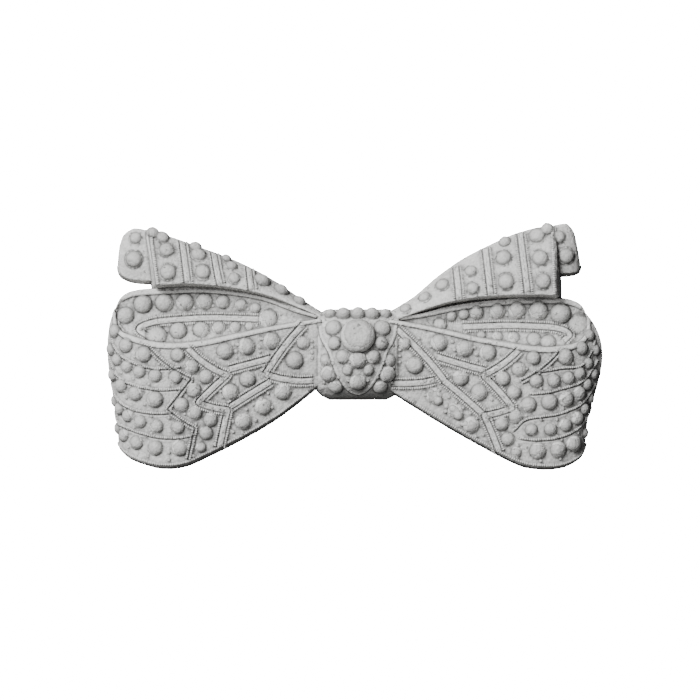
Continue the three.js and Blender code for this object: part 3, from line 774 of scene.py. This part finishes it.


# The cast itself: one skin fused over every form, bead and trim, softened as a casting is.
# One node tree sets every bead, pellet and grain as a dome; a second roughens the fused skin.
# Its grey is matte and mottled, with painted shade in the crevices, on steep walls, along the cut lines,
# between the grains and round the domes, and painted light on crests.

PLAIN_WALLS = (WALL_DRAFT, WALL_DRAFT, WALL_DRAFT)

# Each form's columns and rows, and how far its low, end and high walls lean out.
SHELLS = {
    "face": (170, 60, PLAIN_WALLS),
    "hollow": (150, 40, PLAIN_WALLS),
    "tail": (120, 40, (SHELTERED_DRAFT, TAIL_END_DRAFT, WALL_DRAFT)),
    "curl": (50, 40, (CURL_FOOT_DRAFT, WALL_DRAFT, WALL_DRAFT)),
}
KNOT_SHELL = (50, 120, PLAIN_WALLS)

# Each dome's sides and rings.
BEAD_FACETS = (32, 18)
PELLET_FACETS = (12, 8)
GRAIN_FACETS = (10, 7)
VOXEL = 0.15
SOFTENING = 0.3
SWELLING = 0.3
SWELLING_SCALE = 0.35
PITTING = 0.24
PITTING_SCALE = 1.4
SKIN_TRIANGLES = 196000

# What is painted on the skin: how depth and steepness count towards the painted shade, and how far each
# painted mark reaches.
DEPTH_TURNS = 14
DEPTH_SHARES = {2: 1.0, 9: 0.35}
SHADE_START = 0.3
DEPTH_SHADE_GAIN = 2.0
STEEP_SHADE_GAIN = 1.0
DOME_FOOT = 0.8
DOME_SHADE_REACH = 1.5
STRING_REACH = 0.42
STRING_FADE = 1.5
GROOVE_REACH = 0.5
GROOVE_FADE = 2.2
CUT_HALF = 0.3
CUT_EDGE = 6.0
CUT_SINK = -0.5


def mesh_from(name, vertices, faces):
    mesh = bpy.data.meshes.new(name)
    mesh.from_pydata([tuple(map(float, p)) for p in vertices], [], [tuple(map(int, f)) for f in faces])
    return mesh


def object_from(mesh):
    item = bpy.data.objects.new(mesh.name, mesh)
    bpy.context.scene.collection.objects.link(item)
    return item


def spots_mesh(name, spots):
    mesh = mesh_from(name, spots.places, [])
    for label, values in (("facing", spots.facings), ("reach", spots.reaches)):
        layer = mesh.attributes.new(label, "FLOAT_VECTOR", "POINT")
        layer.data.foreach_set("vector", np.array(values, np.float32).ravel())
    return mesh


def start_tree(name, sizes):
    tree = bpy.data.node_groups.new(name, "GeometryNodeTree")
    tree.interface.new_socket("Geometry", in_out="INPUT", socket_type="NodeSocketGeometry")
    for label, kind, value in sizes:
        socket = tree.interface.new_socket(label, in_out="INPUT", socket_type=kind)
        socket.default_value = value
    tree.interface.new_socket("Geometry", in_out="OUTPUT", socket_type="NodeSocketGeometry")
    return tree, tree.nodes.new("NodeGroupInput"), tree.nodes.new("NodeGroupOutput")


def put_on(item, tree, sizes):
    """Puts a node tree on an object, with its inputs set by the sockets' identifiers."""
    modifier = item.modifiers.new(tree.name, "NODES")
    modifier.node_group = tree
    for socket in tree.interface.items_tree:
        if socket.in_out == "INPUT" and socket.name in sizes:
            modifier[socket.identifier] = sizes[socket.name]


def plain_mesh(item):
    """The mesh that an object's modifiers give; the object itself goes."""
    shaped = item.evaluated_get(bpy.context.evaluated_depsgraph_get())
    result = bpy.data.meshes.new_from_object(shaped)
    bpy.data.objects.remove(item)
    return result


def named(tree, name, kind):
    node = tree.nodes.new("GeometryNodeInputNamedAttribute")
    node.data_type = kind
    node.inputs["Name"].default_value = name
    return node.outputs["Attribute"]


def finish_tree(tree, geometry, given, outcome):
    realize = tree.nodes.new("GeometryNodeRealizeInstances")
    clothe = tree.nodes.new("GeometryNodeSetMaterial")
    tree.links.new(geometry, realize.inputs["Geometry"])
    tree.links.new(realize.outputs["Geometry"], clothe.inputs["Geometry"])
    tree.links.new(given.outputs["Material"], clothe.inputs["Material"])
    tree.links.new(clothe.outputs["Geometry"], outcome.inputs["Geometry"])


def dome_tree():
    """Stands a ball on every point, turned and stretched by the point's own attributes."""
    tree, given, outcome = start_tree("domes_on_ribbon", [
        ("Sides", "NodeSocketInt", 24),
        ("Rings", "NodeSocketInt", 14),
        ("Material", "NodeSocketMaterial", None),
    ])
    ball = tree.nodes.new("GeometryNodeMeshUVSphere")
    turn = tree.nodes.new("FunctionNodeAlignRotationToVector")
    turn.axis = "Z"
    place = tree.nodes.new("GeometryNodeInstanceOnPoints")
    tree.links.new(given.outputs["Sides"], ball.inputs["Segments"])
    tree.links.new(given.outputs["Rings"], ball.inputs["Rings"])
    tree.links.new(named(tree, "facing", "FLOAT_VECTOR"), turn.inputs["Vector"])
    tree.links.new(given.outputs["Geometry"], place.inputs["Points"])
    tree.links.new(ball.outputs["Mesh"], place.inputs["Instance"])
    tree.links.new(turn.outputs["Rotation"], place.inputs["Rotation"])
    tree.links.new(named(tree, "reach", "FLOAT_VECTOR"), place.inputs["Scale"])
    finish_tree(tree, place.outputs["Instances"], given, outcome)
    return tree


def domes_on(name, spots, facets, tree, grey):
    """The plain mesh of a dome at each of the spots."""
    seeds = object_from(spots_mesh(name, spots))
    sides, rings = facets
    put_on(seeds, tree, {"Sides": sides, "Rings": rings, "Material": grey})
    return plain_mesh(seeds)


def skin_tree():
    """Moves the fused skin in and out along its normals, coarse and fine, as a worn casting is."""
    tree, given, outcome = start_tree("worn_cast_skin", [
        ("Swelling", "NodeSocketFloat", 0.1),
        ("Pitting", "NodeSocketFloat", 0.05),
        ("Material", "NodeSocketMaterial", None),
    ])
    move = tree.nodes.new("GeometryNodeSetPosition")
    normal = tree.nodes.new("GeometryNodeInputNormal")
    total = tree.nodes.new("ShaderNodeMath")
    for k, (label, scale) in enumerate((("Swelling", SWELLING_SCALE), ("Pitting", PITTING_SCALE))):
        noise = tree.nodes.new("ShaderNodeTexNoise")
        noise.inputs["Scale"].default_value = scale
        noise.inputs["Detail"].default_value = 2.0
        centre = tree.nodes.new("ShaderNodeMath")
        centre.operation = "SUBTRACT"
        centre.inputs[1].default_value = 0.5
        amount = tree.nodes.new("ShaderNodeMath")
        amount.operation = "MULTIPLY"
        tree.links.new(noise.outputs["Fac"], centre.inputs[0])
        tree.links.new(centre.outputs[0], amount.inputs[0])
        tree.links.new(given.outputs[label], amount.inputs[1])
        tree.links.new(amount.outputs[0], total.inputs[k])
    push = tree.nodes.new("ShaderNodeVectorMath")
    push.operation = "SCALE"
    tree.links.new(normal.outputs[0], push.inputs[0])
    tree.links.new(total.outputs[0], push.inputs["Scale"])
    tree.links.new(given.outputs["Geometry"], move.inputs["Geometry"])
    tree.links.new(push.outputs[0], move.inputs["Offset"])
    finish_tree(tree, move.outputs["Geometry"], given, outcome)
    return tree


def numbers_of(items, what, width=1, kind=np.float32):
    flat = np.empty(len(items) * width, kind)
    items.foreach_get(what, flat)
    return flat


def joined(name, meshes):
    """All of the meshes in one, still as separate closed shapes."""
    vertices = []
    loops = []
    starts = []
    totals = []
    offset = 0
    loop_offset = 0
    for mesh in meshes:
        vertices.append(numbers_of(mesh.vertices, "co", 3))
        loops.append(numbers_of(mesh.loops, "vertex_index", kind=np.int32) + offset)
        starts.append(numbers_of(mesh.polygons, "loop_start", kind=np.int32) + loop_offset)
        totals.append(numbers_of(mesh.polygons, "loop_total", kind=np.int32))
        offset += len(mesh.vertices)
        loop_offset += len(mesh.loops)
    whole = bpy.data.meshes.new(name)
    whole.vertices.add(offset)
    whole.vertices.foreach_set("co", np.concatenate(vertices))
    whole.loops.add(loop_offset)
    whole.loops.foreach_set("vertex_index", np.concatenate(loops))
    whole.polygons.add(sum(len(mesh.polygons) for mesh in meshes))
    whole.polygons.foreach_set("loop_start", np.concatenate(starts))
    whole.polygons.foreach_set("loop_total", np.concatenate(totals))
    whole.update(calc_edges=True)
    return whole


def cast_grey():
    """Matte grey; it reads the skin's painted attributes, and object coordinates for its grain."""
    material = bpy.data.materials.new("cast_grey")
    material.use_nodes = True
    nodes = material.node_tree.nodes
    links = material.node_tree.links
    shader = nodes["Principled BSDF"]
    shader.inputs["Roughness"].default_value = 0.6
    place = nodes.new("ShaderNodeTexCoord").outputs["Object"]

    def noise(scale, detail, roughness=0.6):
        node = nodes.new("ShaderNodeTexNoise")
        node.inputs["Scale"].default_value = scale
        node.inputs["Detail"].default_value = detail
        node.inputs["Roughness"].default_value = roughness
        links.new(place, node.inputs["Vector"])
        return node.outputs["Fac"]

    def ramp(source, stops):
        node = nodes.new("ShaderNodeValToRGB")
        band = node.color_ramp
        for k, (where, grey) in enumerate(stops):
            stop = band.elements[k] if k < 2 else band.elements.new(where)
            stop.position = where
            stop.color = (*grey, 1) if isinstance(grey, tuple) else (grey, grey, grey, 1)
        links.new(source, node.inputs["Fac"])
        return node.outputs["Color"]

    def multiplied(a, b, share=1.0):
        node = nodes.new("ShaderNodeMix")
        node.data_type = "RGBA"
        node.blend_type = "MULTIPLY"
        node.inputs["Factor"].default_value = share
        links.new(a, node.inputs["A"])
        links.new(b, node.inputs["B"])
        return node.outputs["Result"]

    def painted(name):
        node = nodes.new("ShaderNodeAttribute")
        node.attribute_name = name
        return node.outputs["Fac"]

    def maths(operation, a, b, c=0.0):
        node = nodes.new("ShaderNodeMath")
        node.operation = operation
        for socket, value in zip(node.inputs, (a, b, c)):
            if isinstance(value, float):
                socket.default_value = value
            else:
                links.new(value, socket)
        return node.outputs[0]

    def bump(height, depth, strength=1.0, below=None):
        node = nodes.new("ShaderNodeBump")
        node.inputs["Strength"].default_value = strength
        node.inputs["Distance"].default_value = depth
        links.new(height, node.inputs["Height"])
        if below is not None:
            links.new(below, node.inputs["Normal"])
        return node.outputs["Normal"]

    turned = maths("COSINE", maths("MULTIPLY", painted("along"), 2 * math.pi), 0.0)
    strung = painted("strung")
    bare = maths("SUBTRACT", 1.0, strung)
    beaded = maths("MULTIPLY_ADD", maths("MULTIPLY_ADD", turned, 0.5, 0.5), strung, bare)
    # Painted shade and light: the grey darkens in hollows and on steep walls and lightens on crests.
    body = ramp(painted("shade_and_crest_light"), [
        (0.0, (0.755, 0.752, 0.737)),
        (0.45, (0.62, 0.618, 0.605)),
        (0.7, (0.445, 0.443, 0.435)),
        (1.0, (0.215, 0.214, 0.21)),
    ])
    cloudy = ramp(noise(90, detail=3), [(0.35, 0.88), (0.65, (1.0, 1.0, 0.995))])
    mottle = ramp(noise(1000, detail=4, roughness=0.75), [(0.3, 0.66), (0.7, 1.0)])
    # Painted shade in the gaps between the grains strung along the cords.
    grain_gap_shade = ramp(beaded, [(0.0, 0.36), (0.5, 1.0)])
    # Painted shade: a dark line along each cut line.
    aside = maths("ABSOLUTE", painted("aside"), 0.0)
    inside = maths("MULTIPLY", maths("SUBTRACT", CUT_HALF, aside), CUT_EDGE)
    cut = maths("MULTIPLY", maths("MINIMUM", maths("MAXIMUM", inside, 0.0), 1.0), painted("groove_shade"))
    shaded_grooves = ramp(cut, [(0.0, 1.0), (1.0, 0.42)])
    # Painted shade: a dark ring round each dome's foot, and the domes somewhat darker than the ground.
    domes = ramp(painted("dome"), [
        (0.0, 0.86), (0.42, 0.74), (0.58, 0.57), (0.67, 0.34), (0.74, 0.86), (0.8, 1.0),
    ])
    pits = ramp(noise(430, detail=2), [(0.27, 0.4), (0.34, 1.0)])
    clouded = multiplied(multiplied(body, cloudy), mottle)
    trimmed = multiplied(multiplied(clouded, grain_gap_shade, share=0.9), shaded_grooves)
    links.new(multiplied(multiplied(trimmed, domes), pits), shader.inputs["Base Color"])
    beading = bump(maths("MULTIPLY_ADD", cut, CUT_SINK, beaded), depth=0.0002)
    grain = bump(noise(1400, detail=3, roughness=0.65), depth=0.0003, below=beading)
    dimples = bump(noise(520, detail=3), depth=0.0004, strength=0.7, below=grain)
    links.new(dimples, shader.inputs["Normal"])
    return material


def shade_and_crest_light_of(mesh):
    """Painted shade and light for each point of the skin: darker where it lies deep among its neighbours
    and where it stands steeply, lighter on crests.
    """
    count = len(mesh.vertices)
    places = numbers_of(mesh.vertices, "co", 3, np.float64).reshape(-1, 3)
    normals = numbers_of(mesh.vertices, "normal", 3, np.float64).reshape(-1, 3)
    a, b = numbers_of(mesh.edges, "vertices", 2, np.int64).reshape(-1, 2).T
    valence = np.maximum(np.bincount(a, minlength=count) + np.bincount(b, minlength=count), 1)

    def averaged(values):
        sums = [np.bincount(a, values[b, k], count) + np.bincount(b, values[a, k], count) for k in range(3)]
        return np.stack(sums, axis=1) / valence[:, None]

    depths = np.zeros(count)
    near, wide = places, normals
    for turn in range(DEPTH_TURNS):
        near = averaged(near)
        wide = averaged(wide)
        if turn in DEPTH_SHARES:
            depths += DEPTH_SHARES[turn] * np.einsum("ij,ij->i", near - places, normals)
    wide /= np.maximum(np.linalg.norm(wide, axis=1, keepdims=True), 1e-9)
    steepness = 1 - np.einsum("ij,ij->i", wide, normals)
    return np.clip(SHADE_START + depths / MM * DEPTH_SHADE_GAIN + steepness * STEEP_SHADE_GAIN, 0, 1)


def nearest_of(marks, places):
    """Which of the marks is nearest to each of the places."""
    tree = KDTree(len(marks))
    for k, mark in enumerate(marks):
        tree.insert(mark, k)
    tree.balance()
    return np.array([tree.find(place)[1] for place in places])


def shade_round_domes(places, groups):
    """How far out from its nearest dome's middle each point is, as a share of the reach of the painted
    shade round the dome.

    A point lower than the dome's foot, as on the flat back, counts as farther out.
    """
    centres = np.vstack([group.places for group in groups])
    facings = np.vstack([group.facings for group in groups])
    radii = np.concatenate([[reach[0] for reach in group.reaches] for group in groups])
    nearest = nearest_of(centres, places)
    offset = places - centres[nearest]
    facing = facings[nearest]
    height = np.einsum("ij,ij->i", offset, facing)
    flat = offset - facing * height[:, None]
    share = np.linalg.norm(flat, axis=1) / radii[nearest] + np.maximum(-DOME_FOOT - height, 0)
    return np.clip(share / DOME_SHADE_REACH, 0, 1)


def on_strings(places, trims):
    """Where each point is along its nearest string of grains, and how near it is."""
    nearest = nearest_of(trims.grains.places, places)
    ways = np.array(trims.ways)[nearest]
    offset = places - np.array(trims.grains.places)[nearest]
    steps = np.maximum(np.linalg.norm(ways, axis=1), 1e-9)
    ahead = np.einsum("ij,ij->i", offset, ways) / steps**2
    aside = np.linalg.norm(offset - ways * ahead[:, None], axis=1)
    return np.array(trims.marks)[nearest] + ahead, np.clip(STRING_FADE - aside / STRING_REACH, 0, 1)


def groove_shade_by(places, trims):
    """How far to one side of its nearest groove each point is, and whether it is near one, for the painted
    shade along the cut lines.
    """
    marks = np.array(trims.shaded_grooves)
    nearest = nearest_of(marks, places)
    offset = places - marks[nearest]
    aside = np.einsum("ij,ij->i", offset, np.array(trims.groove_sides)[nearest])
    return aside, np.clip(GROOVE_FADE - np.linalg.norm(offset, axis=1) / GROOVE_REACH, 0, 1)


def bow_parts(trims, beads, pellets, grey):
    """Every form, bar, stone and dome of the bow, each a closed mesh of its own."""
    shells = [shell_of(forms[name], *SHELLS[name]) for forms in FORMS.values() for name in SHELLS]
    shells.append(shell_of(KNOT, *KNOT_SHELL))
    meshes = [mesh_from("form", *shell) for shell in shells]
    meshes += [mesh_from("trim", *bar) for bar in trims.bars]
    meshes.append(mesh_from("cabochon", *worn_cabochon()))
    tree = dome_tree()
    meshes.append(domes_on("beads", beads, BEAD_FACETS, tree, grey))
    meshes.append(domes_on("pellets", pellets, PELLET_FACETS, tree, grey))
    meshes.append(domes_on("grains", trims.grains, GRAIN_FACETS, tree, grey))
    return meshes


def fused_skin(meshes, grey):
    """One skin round all of the meshes: softened, worn, thinned, and flat at the back."""
    rough = object_from(joined("rough_cast", meshes))
    fuse = rough.modifiers.new("fuse", "REMESH")
    fuse.mode = "VOXEL"
    fuse.voxel_size = VOXEL
    soften = rough.modifiers.new("soften", "SMOOTH")
    soften.factor = SOFTENING
    soften.iterations = 1
    put_on(rough, skin_tree(), {"Swelling": SWELLING, "Pitting": PITTING, "Material": grey})
    fused = plain_mesh(rough)

    triangles = sum(len(face.vertices) - 2 for face in fused.polygons)
    thick = object_from(fused)
    thin = thick.modifiers.new("thin", "DECIMATE")
    thin.ratio = min(1.0, SKIN_TRIANGLES / triangles)
    skin = plain_mesh(thick)

    places = numbers_of(skin.vertices, "co", 3).reshape(-1, 3)
    places[:, 1] = np.minimum(places[:, 1], 0)
    skin.vertices.foreach_set("co", (places * MM).ravel())
    skin.update()
    skin.shade_smooth()
    return skin


def paint(skin, trims, domes):
    """Writes on the skin's points what the grey reads there."""
    places = numbers_of(skin.vertices, "co", 3, np.float64).reshape(-1, 3) / MM
    along, strung = on_strings(places, trims)
    aside, groove_shade = groove_shade_by(places, trims)
    # Painted shade: in hollows and on steep walls with lighter crests, between the grains, along the cut
    # lines and round the domes.
    layers = {
        "shade_and_crest_light": shade_and_crest_light_of(skin),
        "along": along,
        "strung": strung,
        "aside": aside,
        "groove_shade": groove_shade,
        "dome": shade_round_domes(places, domes),
    }
    for name, values in layers.items():
        layer = skin.attributes.new(name, "FLOAT", "POINT")
        layer.data.foreach_set("value", values.astype(np.float32))


def make_bow():
    grey = cast_grey()
    trims = set_out_trims()
    beads = set_out_beads()
    pellets = set_out_pellets()
    cabochon = Spots()
    cabochon.add(KNOT, 0.5 + KNOT_CABOCHON[0], *KNOT_CABOCHON[1:], BEAD_SWELL)
    skin = fused_skin(bow_parts(trims, beads, pellets, grey), grey)
    paint(skin, trims, (beads, pellets, cabochon))
    skin.materials.clear()
    skin.materials.append(grey)
    skin.name = "cast_bow"
    bow = object_from(skin)
    bow.name = "cast_bow"
    return bow


bow = make_bow()
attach(bow, "root")
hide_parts("bow_onlay")


# The floor: a plain pale sheet well below the bow, too short to come into the front view.
# The bow itself is fixed by its back, so nothing stands on it.

FLOOR_DEPTH = 2.5
FLOOR_SIZE = 2.2


def make_floor():
    half = FLOOR_SIZE / 2
    signs = ((-1, -1), (1, -1), (1, 1), (-1, 1))
    corners = [(across * half, deep * half, -FLOOR_DEPTH) for across, deep in signs]
    floor = object_from(mesh_from("studio_floor", corners, [(0, 1, 2, 3)]))
    pale = bpy.data.materials.new("pale_floor")
    pale.use_nodes = True
    shader = pale.node_tree.nodes["Principled BSDF"]
    shader.inputs["Base Color"].default_value = (0.8, 0.8, 0.8, 1)
    shader.inputs["Roughness"].default_value = 0.9
    floor.data.materials.append(pale)
    return floor


make_floor()


# Light and camera.
# A soft key from the upper left in front, a weak fill, and a white surround behind the bow.
# The camera stands 2 m in front of the bow's back, level with its middle.

CAMERA_AWAY = 2.0
PICTURE_WIDE = 0.23333
PICTURE_MIDDLE = (-0.00183, -0.00167)
SENSOR_WIDE = 36
SIGHT_END = 20
LAMP_SPREAD = 50


def soft_light(name, place, size, power):
    lamp = bpy.data.lights.new(name, "AREA")
    lamp.shape = "DISK"
    lamp.size = size
    lamp.energy = power
    lamp.spread = math.radians(LAMP_SPREAD)
    item = bpy.data.objects.new(name, lamp)
    bpy.context.scene.collection.objects.link(item)
    item.location = place
    item.rotation_euler = (Vector((0, 0, 0)) - Vector(place)).to_track_quat("-Z", "Y").to_euler()


def white_surround(seen, shed):
    """A world that is bright where the camera sees it, and sheds far less light on the bow."""
    world = bpy.data.worlds.new("studio")
    world.use_nodes = True
    nodes = world.node_tree.nodes
    links = world.node_tree.links
    path = nodes.new("ShaderNodeLightPath")
    mix = nodes.new("ShaderNodeMixShader")
    bright = nodes.new("ShaderNodeBackground")
    dim = nodes["Background"]
    for sky, strength in ((bright, seen), (dim, shed)):
        sky.inputs["Color"].default_value = (1, 1, 1, 1)
        sky.inputs["Strength"].default_value = strength
    links.new(path.outputs["Is Camera Ray"], mix.inputs[0])
    links.new(dim.outputs[0], mix.inputs[1])
    links.new(bright.outputs[0], mix.inputs[2])
    links.new(mix.outputs[0], nodes["World Output"].inputs["Surface"])
    bpy.context.scene.world = world


def front_camera():
    lens = bpy.data.cameras.new("front")
    lens.sensor_width = SENSOR_WIDE
    lens.lens = CAMERA_AWAY / PICTURE_WIDE * SENSOR_WIDE
    lens.clip_end = SIGHT_END
    item = bpy.data.objects.new("front", lens)
    bpy.context.scene.collection.objects.link(item)
    item.location = (PICTURE_MIDDLE[0], -CAMERA_AWAY, PICTURE_MIDDLE[1])
    item.rotation_euler = (math.pi / 2, 0, 0)
    bpy.context.scene.camera = item


soft_light("key", place=(-1.3, -1.7, 1.45), size=1.5, power=15.6)
soft_light("front", place=(-0.7, -2.3, 0.5), size=0.8, power=2.0)
white_surround(seen=26.0, shed=0.05)
front_camera()
